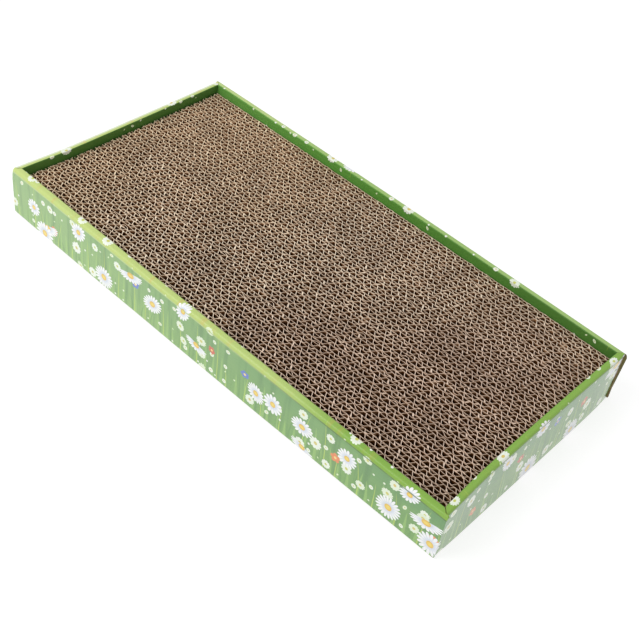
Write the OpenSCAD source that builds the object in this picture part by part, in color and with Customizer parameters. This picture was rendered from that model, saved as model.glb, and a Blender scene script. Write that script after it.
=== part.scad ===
// Cat scratcher: a shallow tray folded from printed board, holding a loose pad of
// corrugated strips that stand on edge with their open flutes facing up.
// X runs along the tray, Y across it and Z up. The origin is the middle of the underside.
// Every crease is drawn as a mitre: the two panels that it joins meet on a 45 degree face.

/* [Tray] */
// Outside length of the tray
tray_l = 480; // [300:1:700]
// Outside width of the tray
tray_w = 242; // [150:1:320]
// Height from the floor to the top of the rim
tray_h = 49; // [40:1:80]
// Thickness of the folded board
board_t = 2.1; // [1.2:0.1:3]
// Slack beside a ply that is trapped in a long wall
ply_gap = 0.1; // [0.05:0.05:0.5]
// Hollow between the two plies of an end wall
end_hollow = 1.6; // [0.5:0.1:4]
// Length of the corner flaps, from the end wall's face
flap_l = 55; // [30:1:90]
// Drop of each flap's free end, cut at a slant so that it slides in
flap_slant = 6; // [0:0.5:10]

/* [Locking tabs] */
// Length of the tabs that hold the inner walls down
tab_l = 30; // [15:1:40]
// Slack around a tab in its slot
slot_gap = 0.3; // [0.1:0.1:0.8]

/* [Pad] */
// Depth of the pad's top below the rim
pad_recess = 8; // [0:0.5:20]
// Thickness of one strip of double-wall board
strip_t = 7.8; // [6.5:0.1:9]
// Thickness of the flat liners of a strip
liner_t = 0.3; // [0.3:0.05:0.6]
// Thickness of the fluted paper of a strip
medium_t = 0.3; // [0.3:0.05:0.6]
// Length of one wave in the coarse layer
coarse_pitch = 8.95; // [7:0.05:12]
// Length of one wave in the fine layer
fine_pitch = 8.05; // [5:0.05:10]
// Height of the coarse layer, between its liners
coarse_h = 3.7; // [2.5:0.1:4]
// Glue line between a crest of the fluted paper and its liner
glue_gap = 0.02; // [0.01:0.01:0.05]
// Gap between the pad and each end wall
pad_end_gap = 1; // [0.5:0.1:5]
// Least gap between the pad and each long wall
pad_side_gap = 1; // [0.5:0.1:5]
// Gap under the pad
pad_seat_gap = 0.3; // [0.1:0.1:1]

/* [Hidden] */
// The trapped flap and the two plies of a long wall set its thickness
long_wall_w = 3 * board_t + 2 * ply_gap;
end_wall_w = 2 * board_t + end_hollow;
half_l = tray_l / 2;
half_w = tray_w / 2;
rim_under = tray_h - board_t;
// Inner walls stop this far short of each other at the four corners
long_inner_l = tray_l - 2 * (end_wall_w + ply_gap);
end_inner_l = tray_w - 2 * (long_wall_w + ply_gap);
// End walls stand between the long walls' outer plies
end_outer_l = tray_w - 2 * (board_t + ply_gap);
// Places of the tabs, as shares of half the wall's length
long_tab_shares = [-0.66, 0, 0.66];
end_tab_shares = [-0.5, 0.5];

pad_l = tray_l - 2 * (end_wall_w + pad_end_gap);
pad_room = tray_w - 2 * (long_wall_w + pad_side_gap);
strip_count = floor(pad_room / strip_t);
fine_h = strip_t - coarse_h - 3 * liner_t;
pad_bottom = board_t + pad_seat_gap;
strip_h = tray_h - pad_recess - pad_bottom;
// How far a cut runs past the board that it cuts
overrun = 0.5;
// Each strip is cut anywhere along its waves, so its waves start at another point
coarse_step_share = 0.618;
fine_step_share = 0.382;

printed_green = [0.47, 0.66, 0.37];
rim_green = [0.58, 0.75, 0.40];
inner_green = [0.27, 0.50, 0.20];
raw_board = [0.72, 0.62, 0.52];

TRAY_NODES = [
    "base_panel",
    "front_outer_wall", "front_rim", "front_inner_wall",
    "back_outer_wall", "back_rim", "back_inner_wall",
    "left_outer_wall", "left_rim", "left_inner_wall",
    "right_outer_wall", "right_rim", "right_inner_wall",
    "front_left_flap", "front_right_flap", "back_left_flap", "back_right_flap"
];
function strip_name(i) = str("strip_", i < 10 ? "0" : "", i);

// A section drawn in Y and Z, carried along X and centred
module along_x(length) {
    rotate([90, 0, 90])
        linear_extrude(length, center = true)
            children();
}

// A section drawn in X and Z, carried along Y and centred
module along_y(length) {
    rotate([90, 0, 0])
        linear_extrude(length, center = true)
            children();
}

// Section of an outer ply, from its outer face inwards: mitred at the floor and at the rim
module outer_section() {
    polygon([[0, 0], [board_t, board_t], [board_t, rim_under], [0, tray_h]]);
}

// Section of a rim, mitred to the outer and the inner ply of a wall of width w
module rim_section(w) {
    polygon([[0, tray_h], [board_t, rim_under], [w - board_t, rim_under], [w, tray_h]]);
}

// Section of an inner ply, mitred to the rim and standing on the base panel
module inner_section(w) {
    polygon([[w - board_t, board_t], [w, board_t], [w, tray_h], [w - board_t, rim_under]]);
}

// Tab places along a wall of length l
function tab_places(l, shares) = [for (s = shares) s * l / 2];

// Tabs of an inner ply; x runs along the wall from its middle
module tabs(l, w, shares) {
    for (x = tab_places(l, shares))
        translate([x - tab_l / 2, w - board_t, 0])
            cube([tab_l, board_t, board_t]);
}

// Slots in the base panel for the same tabs, with slack all round
module slots(l, w, shares) {
    for (x = tab_places(l, shares))
        translate([x - tab_l / 2 - slot_gap, w - board_t - slot_gap, -overrun])
            cube([tab_l + 2 * slot_gap, board_t + 2 * slot_gap, board_t + 2 * overrun]);
}

// Places something drawn for the front wall, whose outer face lies on y = 0
module at_front() {
    translate([0, -half_w, 0]) children();
}

module at_back() {
    mirror([0, 1, 0]) at_front() children();
}

// Places something drawn for the left wall, whose outer face lies on x = 0
module at_left() {
    translate([-half_l, 0, 0]) children();
}

module at_right() {
    mirror([1, 0, 0]) at_left() children();
}

// Turns tabs that were drawn along X so that they run along an end wall
module turned() {
    mirror([1, -1, 0]) children();
}

// Flat bottom of the tray, mitred all round, with a slot for each tab
module base_panel() {
    color(raw_board)
        difference() {
            intersection() {
                along_x(tray_l)
                    polygon([
                        [-half_w, 0], [half_w, 0],
                        [half_w - board_t, board_t], [board_t - half_w, board_t]
                    ]);
                along_y(tray_w)
                    polygon([
                        [-half_l, 0], [half_l, 0],
                        [half_l - board_t, board_t], [board_t - half_l, board_t]
                    ]);
            }
            at_front() slots(long_inner_l, long_wall_w, long_tab_shares);
            at_back() slots(long_inner_l, long_wall_w, long_tab_shares);
            at_left() turned() slots(end_inner_l, end_wall_w, end_tab_shares);
            at_right() turned() slots(end_inner_l, end_wall_w, end_tab_shares);
        }
}

// Outer ply of a long wall, as long as the tray, with raw board showing at its two ends
module long_outer_wall() {
    color(printed_green)
        along_x(tray_l)
            outer_section();
}

// Rim of a long wall, cut at a slant at both corners
module long_rim() {
    color(rim_green)
        intersection() {
            along_x(tray_l) rim_section(long_wall_w);
            linear_extrude(tray_h)
                polygon([
                    [-half_l, 0], [half_l, 0],
                    [half_l - end_wall_w, long_wall_w], [end_wall_w - half_l, long_wall_w]
                ]);
        }
}

// Inner ply of a long wall, with its tabs through the base panel
module long_inner_wall() {
    color(inner_green)
        union() {
            along_x(long_inner_l) inner_section(long_wall_w);
            tabs(long_inner_l, long_wall_w, long_tab_shares);
        }
}

// Outer ply of an end wall, mitred at its sides where the corner flaps turn in
module end_outer_wall() {
    side = end_outer_l / 2;
    color(printed_green)
        intersection() {
            along_y(end_outer_l) outer_section();
            linear_extrude(tray_h)
                polygon([
                    [0, -side], [board_t, board_t - side],
                    [board_t, side - board_t], [0, side]
                ]);
        }
}

// Rim of an end wall: its slanted ends stay a ply's slack clear of the long rims
module end_rim() {
    side = end_outer_l / 2;
    inner_side = half_w - long_wall_w - ply_gap;
    corner_x = end_wall_w * (board_t + ply_gap) / long_wall_w;
    color(rim_green)
        intersection() {
            along_y(end_outer_l) rim_section(end_wall_w);
            linear_extrude(tray_h)
                polygon([
                    [0, -side], [corner_x - ply_gap, -side], [end_wall_w, -inner_side],
                    [end_wall_w, inner_side], [corner_x - ply_gap, side], [0, side]
                ]);
        }
}

// Inner ply of an end wall, with its tabs through the base panel
module end_inner_wall() {
    color(inner_green)
        union() {
            along_y(end_inner_l) inner_section(end_wall_w);
            turned() tabs(end_inner_l, end_wall_w, end_tab_shares);
        }
}

// Corner flap at the front left: it turns in from the end wall and lies in the long wall
module corner_flap() {
    flap_y = board_t + ply_gap;
    flap_bottom = board_t + ply_gap;
    flap_top = rim_under - ply_gap;
    color(raw_board)
        at_front() at_left()
            intersection() {
                linear_extrude(tray_h)
                    polygon([
                        [0, flap_y], [flap_l, flap_y],
                        [flap_l, flap_y + board_t], [board_t, flap_y + board_t]
                    ]);
                translate([0, flap_y + board_t / 2, 0])
                    along_y(board_t)
                        polygon([
                            [0, flap_bottom], [flap_l, flap_bottom + flap_slant],
                            [flap_l, flap_top - flap_slant], [0, flap_top]
                        ]);
            }
}

// Zigzag height at a place counted in waves: 0 at whole numbers and 1 half way between
function zigzag(s) = 1 - abs(1 - 2 * (s - floor(s)));

// Places where the zigzag turns, in waves, with the two cut ends first and last
function turns(first, last) = concat(
    [first],
    [for (k = [floor(2 * first) + 1:ceil(2 * last) - 1]) k / 2],
    [last]
);

// Fluted paper between two liners at y0 and y0 + height, cut to the strip's length
module fluted_paper(y0, height, pitch, first) {
    // A slanted paper takes up more than its own thickness across the strip
    slope = 2 * height / pitch;
    half_band = medium_t * sqrt(1 + slope * slope) / 2;
    low = y0 + glue_gap + half_band;
    swing = height - 2 * (glue_gap + half_band);
    places = turns(first, first + pad_l / pitch);
    x = [for (s = places) (s - first) * pitch - pad_l / 2];
    y = [for (s = places) low + swing * zigzag(s)];
    last = len(places) - 1;
    polygon(concat(
        [for (i = [0:last]) [x[i], y[i] - half_band]],
        [for (i = [last:-1:0]) [x[i], y[i] + half_band]]
    ));
}

module liner(y0) {
    translate([-pad_l / 2, y0])
        square([pad_l, liner_t]);
}

// One strip of double-wall board on edge: three liners, a coarse and a fine fluted layer
module strip(i) {
    coarse_y = liner_t;
    fine_y = coarse_y + coarse_h + liner_t;
    first_y = -strip_count * strip_t / 2;
    color(raw_board)
        translate([0, first_y + (i - 1) * strip_t, pad_bottom])
            linear_extrude(strip_h) {
                liner(0);
                liner(coarse_y + coarse_h);
                liner(fine_y + fine_h);
                fluted_paper(coarse_y, coarse_h, coarse_pitch, i * coarse_step_share);
                fluted_paper(fine_y, fine_h, fine_pitch, i * fine_step_share);
            }
}

base_panel();
at_front() long_outer_wall();  // front_outer_wall
at_front() long_rim();  // front_rim
at_front() long_inner_wall();  // front_inner_wall
at_back() long_outer_wall();  // back_outer_wall
at_back() long_rim();  // back_rim
at_back() long_inner_wall();  // back_inner_wall
at_left() end_outer_wall();  // left_outer_wall
at_left() end_rim();  // left_rim
at_left() end_inner_wall();  // left_inner_wall
at_right() end_outer_wall();  // right_outer_wall
at_right() end_rim();  // right_rim
at_right() end_inner_wall();  // right_inner_wall
corner_flap();  // front_left_flap
mirror([1, 0, 0]) corner_flap();  // front_right_flap
mirror([0, 1, 0]) corner_flap();  // back_left_flap
mirror([1, 0, 0]) mirror([0, 1, 0]) corner_flap();  // back_right_flap
for (i = [1:strip_count])
    strip(i);
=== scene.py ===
# %% [markdown]
# A cat scratcher is a shallow tray folded from printed board, with a loose pad of corrugated
# strips in it. The strips stand on edge, so the cat's claws meet the open ends of the flutes.
# The frame that is loaded here has every panel and strip at its real size and place. The new
# pieces are drawn on its measures, and none of its own are moved.

# %% Load the frame
import math

import bpy
import numpy as np
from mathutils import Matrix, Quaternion, Vector


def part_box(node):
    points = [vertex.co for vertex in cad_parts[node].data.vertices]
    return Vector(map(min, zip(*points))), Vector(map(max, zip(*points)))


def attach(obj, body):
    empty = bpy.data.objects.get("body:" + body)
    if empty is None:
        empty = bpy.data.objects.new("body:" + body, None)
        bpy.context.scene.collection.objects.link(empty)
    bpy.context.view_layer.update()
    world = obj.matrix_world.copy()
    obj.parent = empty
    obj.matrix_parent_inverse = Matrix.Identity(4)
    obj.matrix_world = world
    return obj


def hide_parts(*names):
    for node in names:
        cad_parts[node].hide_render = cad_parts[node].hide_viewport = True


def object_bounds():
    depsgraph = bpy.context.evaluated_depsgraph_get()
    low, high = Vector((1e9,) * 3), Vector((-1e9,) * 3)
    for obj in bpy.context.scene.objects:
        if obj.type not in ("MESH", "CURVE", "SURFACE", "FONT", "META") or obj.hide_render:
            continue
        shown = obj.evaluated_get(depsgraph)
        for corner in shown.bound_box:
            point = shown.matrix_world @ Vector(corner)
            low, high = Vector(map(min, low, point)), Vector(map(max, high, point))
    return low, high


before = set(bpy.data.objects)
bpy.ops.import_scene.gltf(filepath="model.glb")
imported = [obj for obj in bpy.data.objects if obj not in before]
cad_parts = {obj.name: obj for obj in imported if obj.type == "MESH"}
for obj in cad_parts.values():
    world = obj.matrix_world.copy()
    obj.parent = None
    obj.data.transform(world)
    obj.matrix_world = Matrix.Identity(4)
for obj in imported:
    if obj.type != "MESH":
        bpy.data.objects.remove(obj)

MM = 0.001
cad_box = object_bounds()
print("box of the frame in mm:", [[round(v / MM, 2) for v in corner] for corner in cad_box])

# %% [markdown]
# The lens, the place of the eye and the point it looks at come from fitting the tray's straight
# edges. The camera is also rolled a little, because the uprights lean in the photograph.

# %% Camera
LENS_MM = 63.59
SENSOR_MM = 36
eye = Vector((422.1, -568.1, 655.9)) * MM
aim = Vector((39.7, -26.6, 24.5)) * MM
roll = math.radians(11.16)

camera = bpy.data.objects.new("camera", bpy.data.cameras.new("camera"))
camera.data.lens = LENS_MM
camera.data.sensor_width = SENSOR_MM
camera.location = eye
camera.rotation_mode = "QUATERNION"
camera.rotation_quaternion = (aim - eye).to_track_quat("-Z", "Y") @ Quaternion((0, 0, 1), roll)
bpy.context.scene.collection.objects.link(camera)
bpy.context.scene.camera = camera
bpy.context.scene.view_settings.view_transform = "Standard"

# %% [markdown]
# Shader maths reads best as plain expressions. A Number wraps one socket, and each operator on it
# adds the Math node of that name, so that 1 - mask and a * b + c work as they do on paper.

# %% Shader maths
def operator(name):
    """A method that adds the Math node of this name, with the method's own number put first."""
    return lambda number, *others: number.math(name, number, *others)


class Number:
    """A number in a material. Arithmetic on it adds Math nodes to the same tree."""

    __add__ = __radd__ = operator("ADD")
    __mul__ = __rmul__ = operator("MULTIPLY")
    __sub__ = operator("SUBTRACT")
    __truediv__ = operator("DIVIDE")
    __pow__ = operator("POWER")
    __abs__ = operator("ABSOLUTE")
    __gt__ = operator("GREATER_THAN")
    __lt__ = operator("LESS_THAN")
    sin = operator("SINE")
    cos = operator("COSINE")
    angle_from = operator("ARCTAN2")
    floor = operator("FLOOR")
    least = operator("MINIMUM")
    most = operator("MAXIMUM")

    def __init__(self, socket):
        self.socket = socket

    def __rsub__(self, other):
        return self.math("SUBTRACT", other, self)

    def math(self, name, *values):
        """Adds the Math node of this name and feeds the values into it."""
        node = self.socket.id_data.nodes.new("ShaderNodeMath")
        node.operation = name
        for socket, value in zip(node.inputs, values):
            feed(socket, value)
        return Number(node.outputs[0])


def feed(socket, value):
    """Links a Number or a socket to the socket, or writes a plain value into it."""
    if isinstance(value, Number):
        value = value.socket
    if isinstance(value, bpy.types.NodeSocket):
        socket.id_data.links.new(value, socket)
    else:
        socket.default_value = value


# %% [markdown]
# Every other node is added by the one method Finish.node. The methods after it are short names
# for what the materials need again and again.

# %% Materials
def paint(red, green, blue):
    """A colour as it is read on a screen, from 0 to 255, turned into the linear light of shaders."""
    screen = np.array([red, green, blue]) / 255
    linear = np.where(screen <= 0.04045, screen / 12.92, ((screen + 0.055) / 1.055) ** 2.4)
    return (*linear.tolist(), 1.0)


class Finish:
    """A material and the nodes that it is made of."""

    def __init__(self, name):
        self.material = bpy.data.materials.new(name)
        self.material.use_nodes = True
        self.tree = self.material.node_tree
        self.tree.nodes.clear()

    def node(self, kind, settings=None, sockets=None):
        """Any node: its settings first, with a ramp's stops as (place, colour), then its sockets."""
        made = self.tree.nodes.new("ShaderNode" + kind)
        for name, value in (settings or {}).items():
            if name == "stops":
                ramp = made.color_ramp
                while len(ramp.elements) < len(value):
                    ramp.elements.new(0.5)
                for element, (place, colour) in zip(ramp.elements, value):
                    element.position = place
                    element.color = colour
            else:
                setattr(made, name, value)
        for name, value in (sockets or {}).items():
            feed(made.inputs[name], value)
        return made

    def mix(self, a, b, share):
        """Colour a where share is 0 and colour b where it is 1."""
        return self.node("Mix", {"data_type": "RGBA"}, {0: share, 6: a, 7: b}).outputs[2]

    def ramp(self, value, *stops):
        """A colour for each value from 0 to 1, blended between the stops (place, colour)."""
        return self.node("ValToRGB", {"stops": stops}, {0: value}).outputs[0]

    def step(self, value, start, end, low=0.0, high=1.0):
        """A smooth step from low, where value is start, to high, where it is end."""
        made = self.node("MapRange", {"interpolation_type": "SMOOTHSTEP"},
                         {0: value, 1: start, 2: end, 3: low, 4: high})
        return Number(made.outputs[0])

    def noise(self, place, scale, detail=2.0, roughness=0.5):
        """Soft random hills from 0 to 1, about 1/scale apart."""
        made = self.node("TexNoise", None,
                         {"Vector": place, "Scale": scale, "Detail": detail, "Roughness": roughness})
        return Number(made.outputs[0])

    def at(self, x, y=0.0):
        """A place made of two numbers."""
        return self.node("CombineXYZ", None, {"X": x, "Y": y}).outputs[0]

    def split(self, place):
        """The numbers x, y and z of a place."""
        outputs = self.node("SeparateXYZ", None, {"Vector": place}).outputs
        return [Number(outputs[k]) for k in range(3)]

    def on_object(self):
        """The place of a point on the object, in metres."""
        return self.node("TexCoord").outputs["Object"]

    def on_map(self):
        """The two numbers of a point on the piece's own map."""
        return self.split(self.node("UVMap", {"uv_map": "print"}).outputs[0])[:2]

    def cells(self, dimensions, randomness, **place):
        """Cells of size 1 round points that are scattered as far as randomness allows."""
        return self.node("TexVoronoi", {"voronoi_dimensions": dimensions},
                         {**place, "Scale": 1.0, "Randomness": randomness})

    def dice(self, cells):
        """The three random numbers of a cell."""
        outputs = self.node("SeparateColor", None, {"Color": cells.outputs["Color"]}).outputs
        return [Number(outputs[k]) for k in range(3)]

    def surface(self, colour, roughness, bump, height, **sockets):
        """Ends the material in one Principled shader, with a relief of this height in metres."""
        shader = self.node("BsdfPrincipled", None, {"Base Color": colour, "Roughness": roughness})
        for name, value in sockets.items():
            feed(shader.inputs[name.replace("_", " ")], value)
        relief = self.node("Bump", None, {"Height": bump, "Distance": height, "Strength": 1.0})
        feed(shader.inputs["Normal"], relief.outputs[0])
        self.node("OutputMaterial", None, {"Surface": shader.outputs[0]})
        return self.material


# %% [markdown]
# The tray stands in an even white surrounding, with one broad lamp at its front left. The floor is
# a pale sheet that bounces its light onto the walls. The camera and the gloss see it partly as a
# glow, so that it looks white and still holds a faint shadow.

# %% Light and floor
WORLD_STRENGTH = 0.62
LAMP_WATTS = 17.0
LAMP_SIDE = 1.1
LAMP_PLACE = Vector((-0.7, -1.1, 1.5))
FLOOR_SIDE = 12.0
FLOOR_GLOW = 0.77
FLOOR_DROP = 0.2 * MM


def seen_by_eye(path):
    """1 for rays from the camera and from a gloss, and 0 for light that bounces about."""
    return Number(path.outputs["Is Camera Ray"]).most(Number(path.outputs["Is Glossy Ray"]))


world = bpy.data.worlds.new("surrounding")
bpy.context.scene.world = world
world.use_nodes = True
sky = world.node_tree.nodes["Background"]
sky.inputs["Color"].default_value = (1, 1, 1, 1)
seen = seen_by_eye(world.node_tree.nodes.new("ShaderNodeLightPath"))
feed(sky.inputs["Strength"], WORLD_STRENGTH + (1 - WORLD_STRENGTH) * seen)

lamp = bpy.data.objects.new("broad_lamp", bpy.data.lights.new("broad_lamp", "AREA"))
lamp.data.energy = LAMP_WATTS
lamp.data.size = LAMP_SIDE
lamp.location = LAMP_PLACE
lamp.rotation_mode = "QUATERNION"
lamp.rotation_quaternion = (-LAMP_PLACE).to_track_quat("-Z", "Y")
bpy.context.scene.collection.objects.link(lamp)

sheet = Finish("floor_sheet")
seen = seen_by_eye(sheet.node("LightPath"))
bounce = sheet.mix(paint(246, 246, 246), paint(160, 160, 160), seen)
matte = sheet.node("BsdfDiffuse", None, {"Color": bounce})
glow = sheet.node("Emission", None, {"Color": (1, 1, 1, 1), "Strength": seen * FLOOR_GLOW})
both = sheet.node("AddShader", None, {0: matte.outputs[0], 1: glow.outputs[0]})
sheet.node("OutputMaterial", None, {"Surface": both.outputs[0]})

half = FLOOR_SIDE / 2
floor_mesh = bpy.data.meshes.new("floor")
floor_mesh.from_pydata([(-half, -half, 0), (half, -half, 0), (half, half, 0), (-half, half, 0)], [],
                       [(0, 1, 2, 3)])
floor_mesh.materials.append(sheet.material)
floor = bpy.data.objects.new("floor", floor_mesh)
floor.location.z = -FLOOR_DROP
bpy.context.scene.collection.objects.link(floor)

# %% [markdown]
# Every piece of board or paper is a sheet with a thickness, so one helper makes them all from two
# grids of points. It closes the solid along their border and round any holes, and turns the faces
# outwards if their volume comes out negative.

# %% A solid between two grids
# The places of the materials in a piece's list. The third is bare board with painted shade
PRINTED, RAW, SHADED_RAW = range(3)
FLUTED = 0


def panel(front, back, mapped=None, keep=None):
    """Faces front and back are grids of points (rows, columns, 3). keep marks the cells that exist.
    A border quad closes the solid wherever a kept cell has no kept neighbour. Only the front face is
    printed. The outcome holds the points, the faces, the map and each face's material."""
    rows, columns = front.shape[:2]
    number = np.arange(rows * columns).reshape(rows, columns)
    corners = [number[:-1, :-1], number[1:, :-1], number[1:, 1:], number[:-1, 1:]]
    if keep is None:
        keep = np.ones((rows - 1, columns - 1), bool)
    ringed = np.pad(keep, 1)
    beyond = [ringed[1:-1, :-2], ringed[2:, 1:-1], ringed[1:-1, 2:], ringed[:-2, 1:-1]]
    face = np.stack(corners, -1)[keep]
    border = []
    for side, filled in enumerate(beyond):
        edge = keep & ~filled
        start, end = corners[side][edge], corners[(side + 1) % 4][edge]
        border.append(np.stack([end, start, start + rows * columns, end + rows * columns], -1))
    points = np.concatenate([front.reshape(-1, 3), back.reshape(-1, 3)])
    faces = np.concatenate([face, face[:, ::-1] + rows * columns, *border])
    a, b, c, d = (points[faces[:, k]] for k in range(4))
    volume = np.einsum("ij,ij->", a, np.cross(b, c) + np.cross(c, d)) / 6
    if volume < 0:
        faces = faces[:, ::-1]
    if mapped is None:
        mapped = np.zeros((rows, columns, 2))
    flat = mapped.reshape(-1, 2)
    material = np.where(np.arange(len(faces)) < len(face), PRINTED, RAW)
    return points, faces, np.concatenate([flat, flat]), material


def raw(part, material=RAW):
    """The same solid with bare board, or another material, on every face."""
    return *part[:3], np.full(len(part[1]), material)


# %% [markdown]
# A piece is one mesh of such solids. Its last calls name the body that it rides on and the panel
# or strip of the frame that it stands for.

# %% A piece of the object
SHARP_FROM = math.radians(35)


def piece(name, parts, materials, body, slot, *replaced):
    """One object of closed solids, with its map, its creases kept sharp and its body named."""
    starts = np.cumsum([0] + [len(part[0]) for part in parts])
    points = np.concatenate([part[0] for part in parts])
    faces = np.concatenate([part[1] + start for part, start in zip(parts, starts)])
    mapped = np.concatenate([part[2] for part in parts])
    mesh = bpy.data.meshes.new(name)
    mesh.vertices.add(len(points))
    mesh.vertices.foreach_set("co", points.astype(np.float32).ravel())
    mesh.loops.add(faces.size)
    mesh.loops.foreach_set("vertex_index", faces.astype(np.int32).ravel())
    mesh.polygons.add(len(faces))
    mesh.polygons.foreach_set("loop_start", np.arange(0, faces.size, 4, dtype=np.int32))
    mesh.update(calc_edges=True)
    print_layer = mesh.uv_layers.new(name="print")
    print_layer.uv.foreach_set("vector", mapped[faces.ravel()].astype(np.float32).ravel())
    for material in materials:
        mesh.materials.append(material)
    if len(materials) > 1:
        index = np.concatenate([part[3] for part in parts])
        mesh.polygons.foreach_set("material_index", index.astype(np.int32))
    mesh.shade_smooth()
    mesh.set_sharp_from_angle(angle=SHARP_FROM)
    mesh.validate()
    made = bpy.data.objects.new(name, mesh)
    bpy.context.scene.collection.objects.link(made)
    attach(made, body)
    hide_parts(*replaced)


# %% [markdown]
# The measures of the tray and its pad come from the frame, so that the new pieces fit its panels.

# %% Measures of the tray
def size_of(node):
    """The length, width and height of a node's box."""
    low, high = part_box(node)
    return high - low


LONG_SIDES = ("front", "back")
half_l, half_w, tray_h = cad_box[1]
board_t = size_of("base_panel").z
long_w = size_of("front_rim").y
end_w = size_of("left_rim").x
end_side = size_of("left_outer_wall").y / 2
long_inner = size_of("front_inner_wall").x / 2
end_inner = size_of("left_inner_wall").y / 2
strip_names = sorted(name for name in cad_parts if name.startswith("strip_"))
pad_foot, pad_top = (corner.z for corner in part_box(strip_names[0]))

# %% [markdown]
# What the frame leaves straight, the real tray bends: the pad pushes the long walls out, their
# feet are drawn in, and the end walls lean in except near the front corners. One function bends
# every point alike, so panels that meet go on meeting. Only the raw ends keep their own line.

# %% How the walls bend
# How far the walls stray, in metres: inwards at the corners, then outwards again in the middle
front_foot_in = 2.12 * MM
back_foot_in = 3.62 * MM
foot_bow = 1.14 * MM
rim_in = 1.30 * MM
rim_bow = 1.30 * MM
left_lean = 2.83 * MM
right_lean = 2.97 * MM
end_bow = 1.01 * MM
# The share of that lean which the front corners hold back, and over what width
left_hold = 0.78
right_hold = 0.51
hold_span = 60 * MM
# The depth of the dents and how they follow each other along a wall and up it
dent = 0.10 * MM
dent_along = 19 * MM
dent_up = 17 * MM
dent_drift = 60 * MM
dent_shift = 1.3

# How far each raw end stands back from the full length, as heights and distances in mm
RAW_ENDS = {
    ("front", "left"): ((0, 5, 37, 42, 45, 47), (0.4, 0, 0, 0.55, 1.15, 1.65)),
    ("front", "right"): ((0, 47.8, 49), (0, 0, 1.1)),
    ("back", "left"): ((0, 37, 42, 45, 47), (0, 0, 0.55, 1.8, 2.9)),
    ("back", "right"): ((0, 20, 44, 45.5, 49), (1.4, 1.15, 1.0, 1.5, 3.2)),
}
square_from = 30 * MM


def smooth(value):
    """From 0 to 1 with level ends: v * v * (3 - 2 * v), for v kept between 0 and 1."""
    value = np.clip(value, 0, 1)
    return value * value * (3 - 2 * value)


def raw_end(x, y, z):
    """How far the raw end of the nearest corner stands back, at height z."""
    found = np.zeros(np.broadcast(x, y, z).shape)
    for (long_side, end), (heights, back) in RAW_ENDS.items():
        here = ((y < 0) == (long_side == "front")) & ((x < 0) == (end == "left"))
        found = np.where(here, np.interp(z / MM, heights, back) * MM, found)
    return found


def settle(x, y, z, square=0.0):
    """Bends a straight tray into the real one. Across, y is stretched by the wall's stray, which is
    a parabola along the wall and changes from foot to rim, and by the dents. Along, x is drawn in by
    the end wall's lean. Near a long wall's ends, square trades that lean for the raw end's line."""
    level = np.clip(z / tray_h, 0, 1)
    along = 1 - (x / half_l) ** 2
    across = 1 - (y / half_w) ** 2
    waves = np.sin(x / dent_along + dent_shift * np.sign(y)) * np.sin(z / dent_up + x / dent_drift)
    foot_in = np.where(y < 0, front_foot_in, back_foot_in)
    stray = (1 - level) * (foot_bow * along - foot_in) + level * (rim_bow * along - rim_in)
    stray = stray + dent * (waves - 1)
    hold = np.where(x < 0, left_hold, right_hold) * smooth((-y - hold_span) / hold_span)
    lean = np.where(x < 0, left_lean, right_lean) * (1 - hold) + end_bow * across
    near = smooth(1 - (half_l - np.abs(x)) / square_from)
    new_x = x * (1 - level * lean / half_l)
    new_x = new_x + np.sign(x) * square * near * (level * lean - raw_end(x, y, z))
    new_y = y * (1 + stray / half_w)
    return np.stack(np.broadcast_arrays(new_x, new_y, z), -1)


def on_wall(side, along, depth, z, square=0.0):
    """A point of a wall, settled. along runs to the right as the wall is seen from outside, and
    depth goes inwards from its outer face."""
    places = {
        "front": (along, depth - half_w),
        "right": (half_l - depth, along),
        "back": (-along, half_w - depth),
        "left": (depth - half_l, -along),
    }
    x, y = places[side]
    return settle(x, y, z, square)


# %% [markdown]
# A wall is one board folded twice: up its outer face, over the rim in a soft roll and down its
# inner face in a tight fold. The printed skin is one line with round creases, cut in three in the
# middle of a crease. The length along it carries the print, so a flower can lie over a crease.

# %% The printed skin of a wall
foot_r = 1.5 * MM
long_roll = 3.0 * MM
end_roll = 2.0 * MM
tight_r = 0.7 * MM
ARC_STEPS = 7
WALL_STEP = 7 * MM


def arc(depth, z, radius, start, end):
    """Points (depth, z) on a crease's arc round its centre, from one angle to another."""
    turn = np.radians(np.linspace(start, end, ARC_STEPS))
    return np.stack([depth + radius * np.cos(turn), z + radius * np.sin(turn)], -1)


def line(start, end):
    """Points between two points, without the two ends."""
    start, end = np.array(start), np.array(end)
    count = max(2, int(np.linalg.norm(end - start) / WALL_STEP) + 1)
    return start + (end - start) * np.linspace(0, 1, count + 1)[1:-1, None]


def wall_skin(width, roll):
    """The outer, rim and inner stretches of a wall's skin, each as depth, z and developed length."""
    roll_z, tight_z = tray_h - roll, tray_h - tight_r
    outer = np.concatenate([arc(foot_r, foot_r, foot_r, 225, 180), line((0, foot_r), (0, roll_z)),
                            arc(roll, roll_z, roll, 180, 135)])
    over = np.concatenate([arc(roll, roll_z, roll, 135, 90),
                           line((roll, tray_h), (width - tight_r, tray_h)),
                           arc(width - tight_r, tight_z, tight_r, 90, 45)])
    inner = np.concatenate([arc(width - tight_r, tight_z, tight_r, 45, 0),
                            line((width, tight_z), (width, board_t)), [[width, board_t]]])
    stretches, reached = [], 0.0
    for points in (outer, over, inner):
        steps = np.linalg.norm(np.diff(points, axis=0), axis=1)
        developed = reached + np.concatenate([[0], np.cumsum(steps)])
        reached = developed[-1]
        stretches.append((points[:, 0], points[:, 1], developed))
    return stretches


long_skin = wall_skin(long_w, long_roll)
end_skin = wall_skin(end_w, end_roll)
RIM_FROM, RIM_TO = long_skin[1][2][[0, -1]]
SKIN_TO = long_skin[2][2][-1]
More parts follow.
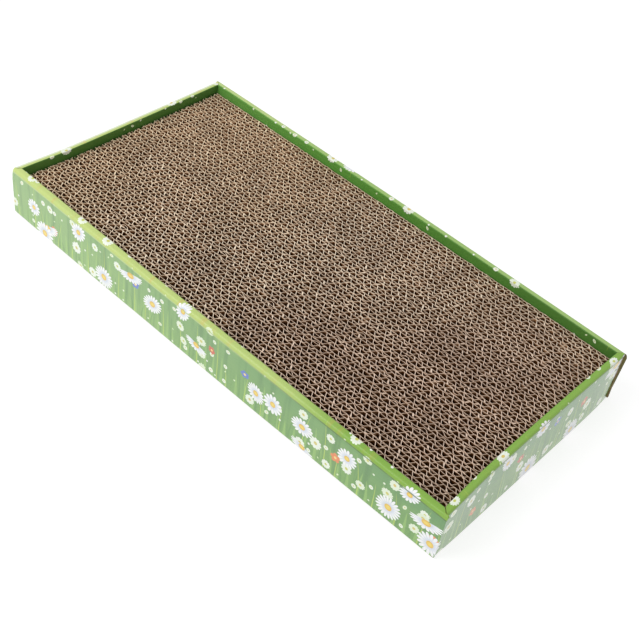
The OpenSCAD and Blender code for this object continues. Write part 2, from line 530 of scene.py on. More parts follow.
# The end walls are thinner and their roll is tighter, so their print is stretched to the same
# places, and it turns to the rim's colour a little later
end_rim_late = 1.3 * MM
own = [0, end_skin[1][2][0] + end_rim_late, end_skin[1][2][-1], end_skin[2][2][-1]]
end_skin = [(depth, z, np.interp(developed, own, [0, RIM_FROM, RIM_TO, SKIN_TO]))
            for depth, z, developed in end_skin]

# %% [markdown]
# The print runs once round the tray, so each wall starts its map where the last one ended.

# %% Stations and print maps
STATION_STEP = 8 * MM
loop = 4 * (half_l + half_w)
print_start = {
    "front": half_l,
    "right": 2 * half_l + half_w,
    "back": 3 * half_l + 2 * half_w,
    "left": 4 * half_l + 3 * half_w,
}


def stations(reach):
    """Places along a wall, from -reach to reach."""
    return np.linspace(-reach, reach, 2 * int(reach / STATION_STEP) + 1)


def print_map(side, along, developed):
    """How far round the tray, and how far up the skin, each grid point is, in metres."""
    return np.stack(np.broadcast_arrays(print_start[side] + along, developed), -1)


def share_of(developed):
    """How much of a stretch of skin is done at each point, from 0 to 1."""
    return (developed - developed[0]) / (developed[-1] - developed[0])


# %% [markdown]
# A long wall's outer ply ends in a cut edge that stands proud of the leaning end wall. At the back
# two liners and a wave of paper run on to it, while at the front the cutting die has pressed the
# flutes shut and smeared the ink over the edge.

# %% Outer plies of the long walls
liner_t = 0.3 * MM
open_depth = 3.2 * MM
tray_flute = 3.4 * MM
WAVE_STEPS = 10
TIP_CUT = 2.0
# How far the cutting die crushes the board at three places, of which the last two lie close
CRUSH = np.array([0.0, 0.35, 0.48])[:, None]
crush_end = 0.4 * MM


def wave(turns):
    """A flute's wave from -1 to 1: a triangle raised by TIP_CUT and cut off at 1. Its flanks are
    steep and its tips lie flat along the liners, as they are pressed and glued there."""
    triangle = np.arcsin(np.sin(2 * np.pi * turns)) / (np.pi / 2)
    return np.clip(TIP_CUT * triangle, -1, 1)


def rolled_path(step):
    """Points (depth, z) of the outer face, up from the foot and over the roll to its top, with the
    unit vector that points inwards at each."""
    straight = np.arange(foot_r, tray_h - long_roll, step)
    turn = np.arange(np.pi, np.pi / 2, -step / long_roll)
    spoke = np.stack([np.cos(turn), np.sin(turn)], -1)
    flat_part = np.stack([np.zeros(len(straight)), straight], -1)
    round_part = np.array([long_roll, tray_h - long_roll]) + long_roll * spoke
    inwards = np.concatenate([np.tile([1.0, 0.0], (len(straight), 1)), -spoke])
    return np.concatenate([flat_part, round_part]), inwards


def long_outer(side):
    """A solid ply up to its last few millimetres, then one block or two liners and a wave at each
    raw end. The crushed board's depth is shared out again there, as depth * (1 - crush)."""
    depth, z, developed = long_skin[0]
    solid_end = half_l - open_depth
    along = stations(solid_end)[:, None]
    back_z = board_t + share_of(developed) * (tray_h - 2 * board_t)
    parts = [panel(on_wall(side, along, depth, z, 1.0), on_wall(side, along, board_t, back_z, 1.0),
                   print_map(side, along, developed))]
    skin, inwards = rolled_path(tray_flute / WAVE_STEPS)
    steps = np.linalg.norm(np.diff(skin, axis=0), axis=1)
    rise = foot_r * np.pi / 4 + np.concatenate([[0], np.cumsum(steps)])
    swing = (board_t - 3 * liner_t) / 2
    weave = board_t / 2 + swing * wave(np.arange(len(skin)) / WAVE_STEPS)
    if side == "front":
        cut_edge = PRINTED
        sheets = [(0, board_t, PRINTED)]
    else:
        # The back raw end, its liners and its wave are bare board with painted shade
        cut_edge = SHADED_RAW
        sheets = [(0, liner_t, PRINTED), (weave - liner_t / 2, liner_t, SHADED_RAW),
                  (board_t - liner_t, liner_t, SHADED_RAW)]
    for sign in (-1, 1):
        span = np.array([solid_end, half_l - crush_end, half_l])[:, None] * sign
        for start, thickness, material in sheets:
            faces = []
            for face_depth in (start, start + thickness):
                sunk = face_depth * (1 - CRUSH)
                faces.append(on_wall(side, span, skin[:, 0] + inwards[:, 0] * sunk,
                                     skin[:, 1] + inwards[:, 1] * sunk, 1.0))
            part = panel(*faces, print_map(side, span, rise))
            if material == PRINTED:
                parts.append((*part[:3], np.where(part[3] == PRINTED, PRINTED, cut_edge)))
            else:
                parts.append(raw(part, material))
    return parts


# %% [markdown]
# An end wall's outer ply stands between the long walls. Its two upright sides are tucked in behind
# the raw ends, most at the foot.

# %% Outer plies of the end walls
front_tuck = 0.6 * MM
back_tuck = 1.6 * MM


def tuck(y, z):
    """How deep the end wall's face lies at y: the eighth power keeps the tuck to the corners."""
    share = np.minimum(np.abs(y) / end_side, 1) ** 8
    return np.where(y > 0, back_tuck, front_tuck) * share * (1 - z / tray_h)


def end_outer(side):
    """The outer face lies deeper by the tuck, and the back face is level."""
    depth, z, developed = end_skin[0]
    along = stations(end_side)[:, None]
    tucked = depth + tuck(along if side == "right" else -along, z)
    back_z = board_t + share_of(developed) * (tray_h - 2 * board_t)
    return [panel(on_wall(side, along, tucked, z), on_wall(side, along, board_t, back_z),
                  print_map(side, along, developed))]


# %% [markdown]
# The rims are cut on the slant where they meet at a corner. The end rims keep a hair's breadth
# away from the long ones, which is the dark line at each corner of the tray.

# %% Rims
corner_gap = 0.4 * MM
front_right_gap = 0.6 * MM
LONG_COLUMNS = 61
END_COLUMNS = 33


def rim(side):
    """A rim whose length shrinks with depth, so that its ends follow the slanted cut."""
    is_long = side in LONG_SIDES
    width = long_w if is_long else end_w
    depth, z, developed = (long_skin if is_long else end_skin)[1]
    back_depth = np.linspace(board_t, width - board_t, len(depth))
    first = -1 + front_right_gap / half_w if side == "right" else -1
    share = np.linspace(first, 1, LONG_COLUMNS if is_long else END_COLUMNS)[:, None]

    def reach(inwards):
        """Half the rim's length at this depth."""
        if is_long:
            return half_l - end_w * inwards / long_w
        return np.minimum(end_side, half_w - long_w * inwards / end_w) - corner_gap

    along, back_along = share * reach(depth), share * reach(back_depth)
    square = 1 - depth / width if is_long else 0.0
    front = on_wall(side, along, depth, z, square)
    back = on_wall(side, back_along, back_depth, tray_h - board_t, square)
    return [panel(front, back, print_map(side, along, developed))]


# %% [markdown]
# The inner plies hang from the rim and stand on the base. Their tabs go through slots in the base
# and lock the folded wall; they show on the underside only.

# %% Inner plies and their tabs
# The middles of the tabs, as shares of the inner ply's half length
LONG_TABS = (-0.66, 0.0, 0.66)
END_TABS = (-0.5, 0.5)
TAB_COLUMNS = 5
tab_l = 30 * MM
tab_foot = 0.2 * MM
slot_gap = 0.3 * MM


def inner(side):
    """The folded-down ply and its tabs, which end just above the underside."""
    is_long = side in LONG_SIDES
    width, reach, tabs = (long_w, long_inner, LONG_TABS) if is_long else (end_w, end_inner, END_TABS)
    depth, z, developed = (long_skin if is_long else end_skin)[2]
    along = stations(reach)[:, None]
    back_z = tray_h - board_t - share_of(developed) * (tray_h - 2 * board_t)
    parts = [panel(on_wall(side, along, depth, z), on_wall(side, along, width - board_t, back_z),
                   print_map(side, along, developed))]
    tab_z = np.array([tab_foot, board_t])[None, :]
    for place in tabs:
        tab_along = place * reach + np.linspace(-tab_l / 2, tab_l / 2, TAB_COLUMNS)[:, None]
        parts.append(raw(panel(on_wall(side, tab_along, width, tab_z),
                               on_wall(side, tab_along, width - board_t, tab_z))))
    return parts


# %% [markdown]
# A corner flap turns in from an end wall and is trapped between the two plies of the long wall.
# Only the crease at its root can be seen, as a narrow band beside the end wall.

# %% Corner flaps
flap_slant = 6 * MM
FLAP_COLUMNS = 9
FLAP_ROWS = 3


def flap(node):
    """A flat plate that narrows by the slant, above and below, towards its free end. Its broad faces
    are bare. Its crease is printed and tucked in at the front, and bare board with painted shade at
    the back."""
    low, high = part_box(node)
    x = np.linspace(low.x, high.x, FLAP_COLUMNS)[:, None]
    root, end = (low.x, "left") if abs(low.x) > abs(high.x) else (high.x, "right")
    away = np.abs(x - root) / (high.x - low.x)
    cut_off = flap_slant * away
    height = high.z - low.z - 2 * cut_off
    z = low.z + cut_off + height * np.linspace(0, 1, FLAP_ROWS)[None, :]
    crease = PRINTED if low.y < 0 else SHADED_RAW
    if crease == PRINTED:
        x = x - np.sign(root) * (1 - away) * tuck(low.y, z)
    along = low.y if end == "right" else -low.y
    faces = [settle(x, y, z) for y in (low.y, high.y)]
    points, cells, mapped, material = panel(*faces, print_map(end, along, z))
    broad = np.arange(len(cells)) < 2 * np.count_nonzero(material == PRINTED)
    return [(points, cells, mapped, np.where(broad, RAW, crease))]


# %% [markdown]
# The base is a plate whose grid lines run along the edges of its ten slots, and the cells inside
# them are left out. Its lower edge is rounded like the walls' and follows the end walls' tuck.

# %% Grid of the base
wall_clear = 2 * MM
line_clear = 1.5 * MM


def slot_spans(reach, shares):
    """Where the slots along one wall start and end."""
    half = tab_l / 2 + slot_gap
    return [(share * reach - half, share * reach + half) for share in shares]


def slot_depths(width):
    """How far inwards the slots under a wall of this width start and end."""
    return width - board_t - slot_gap, width + slot_gap


def grid_lines(half, width, spans):
    """Grid lines across the base: its rounded edges, the slots along the far walls, a tab's ends and
    even stations wherever they keep clear of these."""
    turn = np.radians(np.linspace(45, 90, ARC_STEPS))
    edge = half - foot_r + foot_r * np.cos(turn)
    slot = half - np.array(slot_depths(width))
    ends = np.array(spans).ravel()
    plain = stations(half - width - wall_clear)
    clear = np.abs(plain[:, None] - ends[None, :]).min(1) > line_clear
    return np.sort(np.concatenate([edge, -edge, slot, -slot, ends, plain[clear]]))


def in_slots(along, depth, width, spans):
    """Whether a cell's middle lies in one of the slots under a wall."""
    start, end = slot_depths(width)
    inside = np.any([(along > low) & (along < high) for low, high in spans], axis=0)
    return (depth > start) & (depth < end) & inside


# %% [markdown]
# The upper face is drawn in under the walls, and keeps a little of the border's spacing there.

# %% Base
tuck_reach = 10 * MM
BORDER_KEPT = 0.02


def lifted(distance):
    """The rise of the rounded lower edge near the border: r - sqrt(r^2 - overlap^2)."""
    overlap = np.clip(foot_r - distance, 0, foot_r)
    return foot_r - np.sqrt(foot_r ** 2 - overlap ** 2)


def drawn_in(value, half):
    """The value kept a board's thickness from the border, plus a small share of what it lost."""
    limit = half - board_t
    kept = np.clip(value, -limit, limit)
    return kept + BORDER_KEPT * (value - kept)


def base():
    """The plate between its lower and upper grids, without the cells in the slots."""
    long_spans, end_spans = slot_spans(long_inner, LONG_TABS), slot_spans(end_inner, END_TABS)
    x = grid_lines(half_l, end_w, long_spans)[:, None]
    y = grid_lines(half_w, long_w, end_spans)[None, :]
    mid_x, mid_y = (x[1:] + x[:-1]) / 2, (y[:, 1:] + y[:, :-1]) / 2
    holes = in_slots(mid_x, half_w - np.abs(mid_y), long_w, long_spans)
    holes |= in_slots(mid_y, half_l - np.abs(mid_x), end_w, end_spans)
    under = np.maximum(lifted(half_l - np.abs(x)), lifted(half_w - np.abs(y)))
    near_end = smooth(1 - (half_l - np.abs(x)) / tuck_reach)
    lower = settle(x - np.sign(x) * near_end * tuck(y, 0), y, under)
    upper = settle(drawn_in(x, half_l), drawn_in(y, half_w), board_t)
    return [panel(lower, upper, keep=~holes)]


# %% [markdown]
# The board's raw side is brown kraft paper: fine fibres along it, a few dark specks, and a slow
# change of tone. Nothing in it shines.

# %% Raw board
PAPER_RELIEF = 0.05 * MM

kraft = Finish("raw_board")
place = kraft.on_object()
tone = kraft.noise(place, 22.0, 3.0)
along_fibres = kraft.node("Mapping", None, {"Vector": place, "Scale": (260, 1400, 1400)}).outputs[0]
fibre = kraft.noise(along_fibres, 1.0)
speck = kraft.step(kraft.noise(place, 1500.0, 1.0), 0.70, 0.78)
colour = kraft.mix(paint(140, 112, 80), paint(172, 142, 108), tone)
colour = kraft.mix(colour, paint(110, 84, 56), fibre * 0.35)
colour = kraft.mix(colour, paint(78, 58, 40), speck * 0.5)
raw_board = kraft.surface(colour, 0.92, fibre, PAPER_RELIEF, Specular_IOR_Level=0.3)

# %% [markdown]
# The raw ends of the back wall are painted a dark olive brown with slow blotches. This is painted
# shade for the inner side of the proud end, which lies in shade.

# %% Board at the raw ends, with painted shade
shaded_finish = Finish("shaded_board")
blotch = shaded_finish.noise(shaded_finish.on_object(), 180.0)
colour = shaded_finish.mix(paint(104, 96, 58), paint(142, 134, 90), blotch)
shaded_board = shaded_finish.surface(colour, 0.95, blotch, PAPER_RELIEF, Specular_IOR_Level=0.2)

# %% [markdown]
# A cut edge is fuzzy and pale. Below it the paper gets painted shade, darker the farther it lies
# from an opening, which is the cut, a strip's end or its foot. The piece's map tells how the paper
# leans in plan and how far the cut or an end is. The lean also sets painted light: papers that fall
# towards the front have the palest cut, rising flanks are lit most and liners least. The pad is
# pinkish at the right and yellowish at the left, and its painted shade is deeper towards the front
# right.

# %% Corrugated paper
DEEPEST = 8 * MM
PATCH_SLANT = 0.8
PATCH_DRIFT = 300 * MM

paper = Finish("corrugated_paper")
place = paper.on_object()
pad_x, pad_y, pad_z = paper.split(place)
lean, below = paper.on_map()
below = below.least(pad_z - pad_foot)
tone = paper.noise(place, 60.0, 3.0)
warm = paper.noise(place, 14.0)
fuzz = paper.noise(place, 900.0)
paler_patch = paper.step(paper.noise(place, 120.0, 1.0), 0.60, 0.70)
# The lean sets painted light: falling papers get the palest cut, rising flanks the least shade
falling = paper.step(lean, -0.2, -0.6)
rising = paper.step(lean, 0.2, 0.6)
patch = pad_x - PATCH_SLANT * pad_y + (warm - 0.5) * PATCH_DRIFT
# Painted shade: reach grows with depth below an opening, is less in random paler patches, and is more
# for liners and towards the front right
reach = below / DEEPEST * (0.65 + 0.7 * tone) * (1 - 0.75 * paler_patch) + (fuzz - 0.5) * 0.03
reach = reach * (1.8 - 0.8 * falling - 1.2 * rising)
reach = reach * paper.step(patch, -250 * MM, 50 * MM, 0.6, 1.0)
flank = paper.ramp(reach, (0.0, paint(240, 206, 168)), (0.03, paint(212, 168, 128)),
                   (0.08, paint(158, 112, 74)), (0.2, paint(96, 59, 26)), (1.0, paint(58, 28, 9)))
cut = paper.step(below + fuzz * (0.3 * MM), 0.2 * MM, 0.5 * MM, 1.0, 0.0)
pale = paper.mix(paint(255, 246, 224), paint(255, 227, 198), fuzz)
pale = paper.mix(pale, paint(254, 222, 204), paper.step(patch, -20 * MM, 200 * MM) * 0.6)
pale = paper.mix(pale, paint(250, 221, 172), paper.step(patch, -20 * MM, -200 * MM) * 0.35)
pale = paper.mix(pale, paint(194, 156, 118), 0.24 - 0.24 * falling)
colour = paper.mix(flank, pale, cut)
mottle = paper.step(paper.noise(place, 26.0, 3.0, 0.6), 0.38, 0.62) * 0.16
# Painted shade, darker towards the front right, with random dark mottles
colour = paper.mix(colour, paint(44, 22, 6), paper.step(patch, -60 * MM, 220 * MM) * 0.16 + mottle)
corrugated = paper.surface(colour, 0.95, fuzz, PAPER_RELIEF, Specular_IOR_Level=0.1)

# %% [markdown]
# The tray's print is a meadow: grass, white daisies with yellow hearts, and small blossoms in
# orange, red and blue, all drawn by formula in a layout of its own. A cell pattern gives every
# flower a place and a throw of dice, and polar coordinates round that place make the petals.

# %% Flowers by formula
EDGE = 0.22 * MM
CELL_RANDOM = 0.5
ROWS_BELOW = 20
NO_TOP = 200 * MM
PETAL_POWER = 0.45
SMALLEST = 0.74
HEART_SHARE = 0.28

meadow = Finish("meadow_print")
run, rise = meadow.on_map()


def flowers(cell, radius, row, seed, petals, share, gap, squash,
            top=NO_TOP, tilt=2.4, flat=1.0, upper=1.5):
    """Masks of petals and heart, and each flower's dice. Lengths in mm, top in metres. For n petals
    the outline is size * (1 - gap + gap * |cos(n * angle / 2)| ** PETAL_POWER). A point lies up to
    CELL_RANDOM of a cell from the corner, so half of that puts a row on its line. A flower seen from
    the side is flat times lower, and only the share upper of its petals rises above its heart."""
    cell, radius, row = cell * MM, radius * MM, row * MM
    start = ROWS_BELOW + CELL_RANDOM / 2 - row / cell
    across, up = run * (1 / cell) + seed, rise * (1 / cell) + start
    cells = meadow.cells("2D", CELL_RANDOM, Vector=meadow.at(across, up))
    one, two, three = meadow.dice(cells)
    home_x, home_y = meadow.split(cells.outputs["Position"])[:2]
    dx, dy = (across - home_x) * cell, (up - home_y) * cell
    turn = (three - 0.5) * tilt
    along = dx * turn.cos() + dy * turn.sin()
    upright = dy * turn.cos() - dx * turn.sin()
    aside = upright * (flat + two * two * squash)
    distance = (along ** 2.0 + aside ** 2.0) ** 0.5
    angle = aside.angle_from(along)
    count = (one * petals[1]).floor() + petals[0]
    ridge = abs((angle * count * 0.5 + three * 9.0).cos()) ** PETAL_POWER
    there = (one < share) * ((home_y - start) * cell < top)
    size = (SMALLEST + (1 - SMALLEST) * three) * radius * there
    reach = size * (1 - gap + gap * ridge)
    kept = meadow.step(size * upper - aside, -EDGE, EDGE) * there
    outline = meadow.step(reach - distance, -EDGE, EDGE) * kept
    dome = (along ** 2.0 + (upright * aside).most(upright ** 2.0)) ** 0.5
    heart = meadow.step(size * HEART_SHARE - dome, -EDGE, EDGE) * there
    depth = distance / (size + 0.01 * MM)
    return outline, heart, two, three, ridge, depth


# %% [markdown]
# Blades and stems stand in one-dimensional cells along the wall, and each leans and tapers by its
# own dice.

# %% Blades of grass
BLADE_RANDOM = 0.6


def blades(cell, width, tallest, seed, lean, soft):
    """A blade at every cell: its half width shrinks to nothing at its own height. Lengths in mm."""
    cell, width, tallest, lean, soft = (value * MM for value in (cell, width, tallest, lean, soft))
    across = run * (1 / cell) + seed
    cells = meadow.cells("1D", BLADE_RANDOM, W=across)
    one, two = meadow.dice(cells)[:2]
    height = (0.35 + 0.65 * one) * tallest
    share = rise / height
    offset = (across - Number(cells.outputs["W"])) * cell
    bend = (two - 0.5) * lean * share * share
    half_width = (1 - share).most(0.0) ** 0.6 * width
    return meadow.step(half_width - abs(offset - bend), -soft, soft) * (rise < height)


# %% [markdown]
# The ground is light green at the foot, a fuller green behind the flowers, yellow-green from the
# roll over the rim, and a dark, strong green inside. It is lighter and yellower towards the front
# left corner. A painted highlight makes the far rims paler, most along the left rim's outer edge.
# Inside, painted shade darkens it, most on the left wall, and painted light brightens the left part
# of the back wall. The grass is laid over it.

# %% Ground of the print
band_from = RIM_FROM - long_roll * math.pi / 4 - 0.6 * MM
dark_from = RIM_TO - tight_r * math.pi / 4
lawn = [(0.0, (102, 158, 60)), (0.45, (96, 150, 66)), (0.98, (88, 146, 76))]
stops = [(share * band_from / SKIN_TO, paint(*rgb)) for share, rgb in lawn]
stops += [((band_from + 0.2 * MM) / SKIN_TO, paint(136, 178, 70)),
          (dark_from / SKIN_TO, paint(130, 176, 64)),
          ((dark_from + 0.6 * MM) / SKIN_TO, paint(88, 152, 50)), (1.0, paint(66, 126, 36))]
ground = meadow.ramp(rise / SKIN_TO, *stops)

far_side = print_start["back"]
outside = rise < band_from
inside = rise > dark_from
on_band = (rise > band_from) * (rise < dark_from)
on_left = run > far_side + half_l
on_back = (run > far_side - half_l) * (run < far_side + half_l)
sun = (run * (2 * math.pi / loop)).cos() * 0.5 + 0.5
sunny = meadow.step(sun, 0.42, 0.60) * (0.30 + 0.50 * sun)
# A painted highlight along the outer edge of the left rim
rim_glare = meadow.step(rise, RIM_FROM + 2.8 * MM, RIM_FROM + 0.6 * MM) * on_left * 0.8
shade = meadow.step(run, far_side + 0.5 * half_l, far_side - half_l) * 0.45 + on_left * 0.55
lit = meadow.step(run, far_side, far_side + half_l) * on_back * 0.25
drift = meadow.noise(meadow.at(run * 9.0, rise * 30.0), 1.0)
haze = meadow.noise(meadow.at(run * 150.0, rise * 9.0), 1.0, 3.0, 0.6)
# The pale washes on the left and back rims are painted highlights, shade is painted shade inside and
# lit is painted light inside
washes = [
    ((172, 210, 126), sun * sun * outside * 0.46),
    ((208, 222, 138), sunny * on_band),
    ((236, 244, 226), rim_glare * on_band),
    ((190, 216, 150), on_back * on_band * 0.4),
    ((50, 76, 18), shade * inside),
    ((120, 176, 90), lit * inside),
    ((160, 196, 100), meadow.step(drift, 0.45, 0.8) * outside * 0.4),
    ((72, 126, 58), meadow.step(haze, 0.45, 0.72) * outside * 0.6),
    ((226, 160, 80), meadow.step(haze, 0.52, 0.75) * sun * on_band * 0.4),
    ((160, 204, 104), blades(9, 1.6, 38, 3.1, 6, 0.5) * 0.5),
    ((84, 140, 60), blades(11, 1.1, 34, 11.7, 8, 0.4) * 0.5),
    ((190, 216, 80), blades(19, 0.5, 60, 23.9, 14, 0.22) * 0.8),
]
for rgb, share in washes:
    ground = meadow.mix(ground, paint(*rgb), share)

# %% [markdown]
# The flowers are laid on in order, from the small buds at the back to the large daisies in front.

# %% Flowers of the print
below_rim = {"top": RIM_TO}
fan_view = {"tilt": 0.7, "flat": 1.9, "upper": 0.3}
# Each kind, then cell, radius, row, seed, petals, share, gap and squash, and how it is seen
layers = [
    ("bud", (10, 1.2, 5, 5.3, (3, 2), 0.22, 0.12, 1.0), {}),
    ("small", (15, 2.6, 9, 2.2, (9, 3), 0.26, 0.14, 0.7), {}),
    ("small", (27, 5.2, 12, 6.1, (10, 3), 0.62, 0.22, 0.5), below_rim),
    ("small", (31, 6.2, 25, 7.3, (11, 3), 0.62, 0.30, 0.5), below_rim),
    ("blossom", (47, 5.2, 26, 8.9, (5, 1), 0.70, 0.45, 0.6), below_rim),
    ("daisy", (58, 10.5, 36, 4.6, (13, 4), 0.80, 0.44, 0.8), below_rim),
    ("daisy", (110, 15.0, 27, 1.9, (19, 3), 0.80, 0.40, 0.5), fan_view),
    ("daisy", (62, 12.6, 18, 9.4, (16, 5), 0.85, 0.46, 0.7), below_rim),
]
colour = ground
for kind, shape, view in layers:
    outline, heart, two, three, ridge, depth = flowers(*shape, **view)
    if kind == "bud":
        petal = core = meadow.mix(paint(246, 250, 240), paint(220, 240, 180), two)
    elif kind == "small":
        petal = meadow.mix(paint(244, 250, 238), paint(226, 240, 206), two)
        core = meadow.mix(paint(200, 212, 100), paint(222, 200, 110), three)
    elif kind == "blossom":
        petal = meadow.mix(paint(236, 132, 66), paint(212, 86, 58), two > 0.4)
        petal = meadow.mix(petal, paint(92, 120, 204), two > 0.68)
        core = paint(250, 214, 130)
    else:
        lit_up = ridge * meadow.step(depth, 0.25, 0.7)
        petal = meadow.mix(paint(214, 222, 236), paint(253, 253, 253), lit_up)
        core = meadow.mix(paint(248, 220, 92), paint(232, 184, 52), meadow.step(depth, 0.05, 0.30))
    colour = meadow.mix(colour, petal, outline)
    colour = meadow.mix(colour, core, heart)

# %% [markdown]
# Last come the crease at the rim, light and worn towards the front left and dark with painted shade
# elsewhere, the washboard that the flutes press into the skin, and the varnish, which is rubbed off
# towards the rim.

# %% Wear, painted shade and varnish
crease = meadow.step(abs(rise - band_from), 0.2 * MM, 1.0 * MM, 1.0, 0.0)
# The crease line is light wear towards the front left and painted shade elsewhere
crease_wear_and_shade = meadow.mix(paint(62, 104, 36), paint(186, 208, 140), meadow.step(sun, 0.45, 0.80))
patchy = meadow.step(meadow.noise(meadow.at(run * 50.0), 1.0), 0.25, 0.55)
colour = meadow.mix(colour, crease_wear_and_shade, crease * (0.35 + 0.55 * patchy))
washboard = (rise * (2 * math.pi / tray_flute)).sin() * 0.5
washboard = washboard + meadow.noise(meadow.at(run * 60.0, rise * 60.0), 1.0) * 2.0
rubbed = meadow.step(rise, band_from - 1 * MM, band_from + 1.5 * MM)
varnish = 1 - 0.7 * rubbed
printed = meadow.surface(colour, 0.4 + 0.3 * rubbed, washboard, 0.03 * MM,
                         IOR=1.5, Coat_Weight=varnish, Coat_Roughness=0.16)

# %% [markdown]
# Now the tray is put together, panel by panel, each one standing for the panel of the same name.

# %% The tray's pieces
board = [printed, raw_board, shaded_board]
for side in ("front", "back", "left", "right"):
    outer = long_outer(side) if side in LONG_SIDES else end_outer(side)
    piece(f"tray_{side}_outer", outer, board, "tray", "printed_outer", f"{side}_outer_wall")
    piece(f"tray_{side}_rim", rim(side), board, "tray", "printed_rim", f"{side}_rim")
    piece(f"tray_{side}_inner", inner(side), board, "tray", "printed_inner", f"{side}_inner_wall")
for corner in ("front_left", "front_right", "back_left", "back_right"):
    piece(f"tray_{corner}_flap", flap(f"{corner}_flap"), board, "tray", "raw_board", f"{corner}_flap")
piece("tray_base", base(), [raw_board], "tray", "raw_board", "base_panel")

# %% [markdown]
# Each strip of the pad is five papers on edge: three flat liners and two waves between them. A
# paper is a centre line with a thickness, drawn at four heights. The saw has bent it near the cut,
# and has brushed its burr over the flanks that lie across its way, so those are the broad ones.

# %% A paper on edge
paper_t = 0.3 * MM
# For each height, how much of the straying it has, half a plain paper's thickness there, and what
# a burr and a bent-over flag add to that half
LEVELS = np.array([0.0, 0.88, 0.975, 1.0])[:, None]
PULL = np.array([0.0, 0.0, 0.7, 1.0])[:, None]
PLAIN_EDGE = np.array([0.5, 0.5, 0.5, 0.6])[:, None] * paper_t
BURR = np.array([0.0, 0.0, 0.15, 0.28])[:, None] * paper_t
FLAG = np.array([0.0, 0.0, 0.3, 1.4])[:, None] * paper_t
FLAG_FROM = 0.88
FLAG_FULL = 0.3
flag_spacing = 9 * MM
BURR_LEAN = 0.625


def wander(x, wavelength, rng):
    """A slow random line: three sines of nearby wavelengths with random starts, from about -1 to 1."""
    waves = [np.sin(2 * np.pi * (x / (wavelength * k) + rng.random())) for k in (0.63, 1.0, 1.7)]
    return sum(waves) / 2


def on_edge(x, y, stray, ragged, low, top, rng):
    """A paper on edge. x and y are its centre line in plan, stray moves the line sideways near the
    cut, and ragged lowers or lifts the cut. Each side lies half a thickness square to the line, plus
    the burr where the line falls with x and the flag where a bit is bent over. The map carries the
    lean, which is the sine of the line's angle, and the way to the cut or an end."""
    line_y = y + PULL * stray
    line_x = np.broadcast_to(x, line_y.shape)
    dx, dy = np.gradient(line_x, axis=1), np.gradient(line_y, axis=1)
    length = np.hypot(dx, dy)
    lean = dy / length
    flagged = np.clip(wander(x, flag_spacing, rng) - FLAG_FROM, 0, FLAG_FULL) / FLAG_FULL
    half = PLAIN_EDGE + BURR * smooth(-lean / BURR_LEAN) + FLAG * flagged
    z = low + (top - low) * LEVELS + PULL * ragged
    middle = settle(line_x, line_y, z)
    middle[..., 0] = settle(line_x, line_y, np.full_like(z, pad_top))[..., 0]
    offset = np.stack([-dy / length * half, dx / length * half, 0 * z], -1)
    depth = np.minimum((1 - LEVELS) * (top - low), np.minimum(x - x[0], x[-1] - x))
    mapped = np.stack(np.broadcast_arrays(lean, depth), -1)
    return panel(middle + offset, middle - offset, mapped)


def clad(part, second):
    """The same paper with bare board on one broad face, the pad's outside. A panel lists the cells
    of its first grid, then as many of its second, then its border."""
    cells = np.count_nonzero(part[3] == PRINTED)
    number = np.arange(len(part[1])) - second * cells
    return *part[:3], np.where((number >= 0) & (number < cells), RAW, FLUTED)


# %% [markdown]
# Somewhere along a strip a falling flank of one wave runs on in the other, and from there they
# slip. Here and there a wave is crushed flat at the cut. Where two strips meet, one of the two
# liners is worn down behind the other.

# %% A strip of papers
coarse_pitch = 8.95 * MM
fine_pitch = 8.05 * MM
coarse_h = 3.9 * MM
FLANK_SHIFT = 0.52
WAVE_POINTS = 20
liner_step = 1.8 * MM
# How far a strip lies below the frame's cut at most, and how far inside its ends a paper ends
strip_drop = 0.3 * MM
ends_inside = (0.1 * MM, 0.9 * MM)
# How far papers stray or are torn near the cut, with the spacing of the slow changes
worn_down, cut_down, torn = 0.9 * MM, 0.2 * MM, 0.15 * MM
liner_stray, liner_spacing, liner_rough = 0.28 * MM, 21 * MM, 0.12 * MM
wave_stray, wave_spacing = 0.2 * MM, 8 * MM
SLIPS = ((0.12, 70 * MM), (0.03, 17 * MM))
CRUSHED_FROM, CRUSHED_BY = 0.65, 0.9
crushed_spacing, crushed_down = 26 * MM, 0.6 * MM


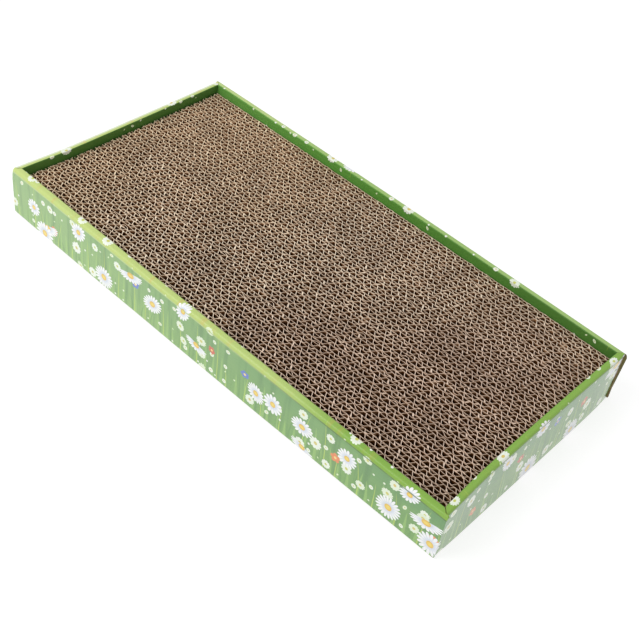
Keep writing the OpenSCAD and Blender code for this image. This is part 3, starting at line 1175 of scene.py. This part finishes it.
def places(low, high, count, rng):
    """Even places along a paper, which ends a little inside the strip."""
    start, end = low.x + rng.uniform(*ends_inside), high.x - rng.uniform(*ends_inside)
    return np.linspace(start, end, count)


def strip(name, rng):
    """Three liners and two fluted papers between the faces of one strip of the frame."""
    low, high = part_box(name)
    top = high.z + rng.uniform(-strip_drop, 0.0)
    length, thick = high.x - low.x, high.y - low.y
    fine_h = thick - coarse_h - 3 * paper_t
    parts = []
    for foot, sunk in ((0, worn_down), (coarse_h + paper_t, cut_down), (thick - paper_t, cut_down)):
        x = places(low, high, int(length / liner_step), rng)
        y = np.full(len(x), low.y + foot + paper_t / 2)
        stray = liner_stray * wander(x, liner_spacing, rng)
        stray = stray + liner_rough * rng.uniform(-1, 1, len(x))
        ragged = torn * rng.uniform(-1, 1, len(x)) - sunk
        parts.append(on_edge(x, y, stray, ragged, low.z, top, rng))
    meet = rng.uniform(low.x, high.x)
    shifted = meet - (coarse_h + fine_h) / 2 * FLANK_SHIFT
    coarse = (paper_t, coarse_h, coarse_pitch, meet)
    fine = (2 * paper_t + coarse_h, fine_h, fine_pitch, shifted)
    for foot, height, pitch, start in (coarse, fine):
        x = places(low, high, int(length / pitch * WAVE_POINTS), rng)
        slip = sum(share * wander(x, spacing, rng) for share, spacing in SLIPS)
        middle = low.y + foot + height / 2
        swing = (height - 0.8 * paper_t) / 2
        y = middle + swing * wave((x - start) / pitch + 0.5 + slip)
        crush = np.clip(wander(x, crushed_spacing, rng) - CRUSHED_FROM, 0, 1) * CRUSHED_BY
        stray = (middle - y) * crush + wave_stray * wander(x, wave_spacing, rng)
        ragged = torn * rng.uniform(-1, 1, len(x)) - crushed_down * crush
        parts.append(on_edge(x, y, stray, ragged, low.z, top, rng))
    papers = [raw(part, FLUTED) for part in parts]
    if name == strip_names[0]:
        papers[0] = clad(parts[0], 1)
    if name == strip_names[-1]:
        papers[2] = clad(parts[2], 0)
    return papers


# %% [markdown]
# The draws are seeded, so each run gives the same pad.

# %% The pad
SEED = 11
rng = np.random.default_rng(SEED)
for name in strip_names:
    piece(f"pad_{name}", strip(name, rng), [corrugated, raw_board], "pad", "corrugated_paper", name)
